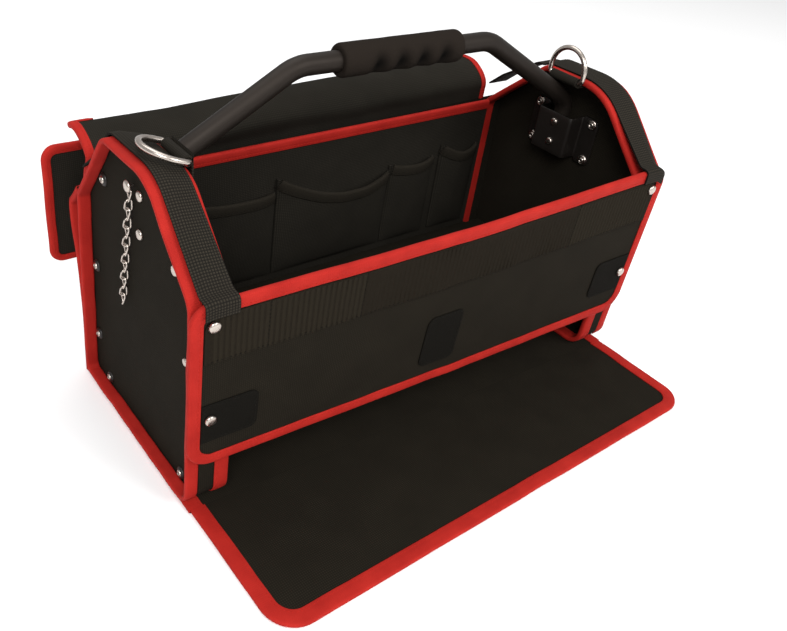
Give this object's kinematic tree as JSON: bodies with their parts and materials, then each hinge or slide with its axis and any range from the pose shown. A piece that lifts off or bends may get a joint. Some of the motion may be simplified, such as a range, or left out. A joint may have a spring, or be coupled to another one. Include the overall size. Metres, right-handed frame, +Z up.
{
  "type": "tool bag",
  "caption": "Open-topped cloth tool bag with bound edges, a fixed tube handle with a foam grip, inner pockets, a folded-back lid, a front flap laid open, D-rings and a hanging chain.",
  "frame": {"origin": "middle of the base between the end pans, on the floor", "axes": "+X along the bag towards the end without the chain, -Y towards the front flap, +Z up"},
  "size_m": [0.4962, 0.3879, 0.309],
  "materials": {
    "fabric": "coarse woven polyester",
    "binding": "woven tape",
    "webbing": "ribbed webbing",
    "tube": "satin",
    "foam": "matte foam",
    "chrome": "nickel plated",
    "black_metal": "blackened, worn bright at its edges"
  },
  "bodies": {
    "bag": {"end_panel_left": "fabric", "end_panel_right": "fabric", "end_gusset_left": "fabric", "end_gusset_right": "fabric", "end_piping_left": "binding", "end_piping_right": "binding", "gusset_binding_left": "binding", "gusset_binding_right": "binding", "rim_webbing_left": "webbing", "rim_webbing_right": "webbing", "front_panel": "fabric", "front_panel_binding": "binding", "front_webbing_band": "webbing", "fastener_patch_left": "webbing", "fastener_patch_middle": "webbing", "fastener_patch_right": "webbing", "front_rivet_left_low": "chrome", "front_rivet_left_high": "chrome", "front_rivet_right_low": "chrome", "front_rivet_right_high": "chrome", "base_panel": "fabric", "base_binding_left": "binding", "base_binding_right": "binding", "front_flap": "fabric", "front_flap_binding": "binding", "back_wall": "fabric", "back_binding_left": "binding", "back_binding_right": "binding", "lid": "fabric", "lid_binding": "binding", "compartment_floor": "fabric", "pocket_panel": "fabric", "pocket_panel_binding": "binding", "pocket_1": "fabric", "pocket_2": "fabric", "pocket_3": "fabric", "pocket_4": "fabric", "handle_tube": "tube", "handle_grip": "foam", "handle_bracket_left": "black_metal", "handle_bracket_right": "black_metal", "d_ring_tab_left": "webbing", "d_ring_tab_right": "webbing", "chain": "chrome", "chain_rivet": "chrome", "face_rivet_left_top": "chrome", "face_rivet_left_middle": "chrome", "face_rivet_left_front": "chrome", "face_rivet_left_small": "chrome", "face_rivet_right_top": "chrome", "face_rivet_right_middle": "chrome", "face_rivet_right_front": "chrome", "face_screw_left_top": "black_metal", "face_screw_left_back": "black_metal", "face_screw_left_low": "black_metal", "face_screw_left_bottom_back": "black_metal", "face_screw_left_bottom_front": "black_metal"},
    "left_ring": {"d_ring_left": "chrome"},
    "right_ring": {"d_ring_right": "chrome"}
  },
  "joints": [
    {"name": "left_ring_swing", "type": "hinge", "parent": "bag", "child": "left_ring", "pos_m": [-0.2063, -0.014, 0.2576], "axis": [0, 1, 0], "range_deg": [0, 150]},
    {"name": "right_ring_swing", "type": "hinge", "parent": "bag", "child": "right_ring", "pos_m": [0.2004, 0.0017, 0.2544], "axis": [0, 1, 0], "range_deg": [-64, 35]}
  ]
}
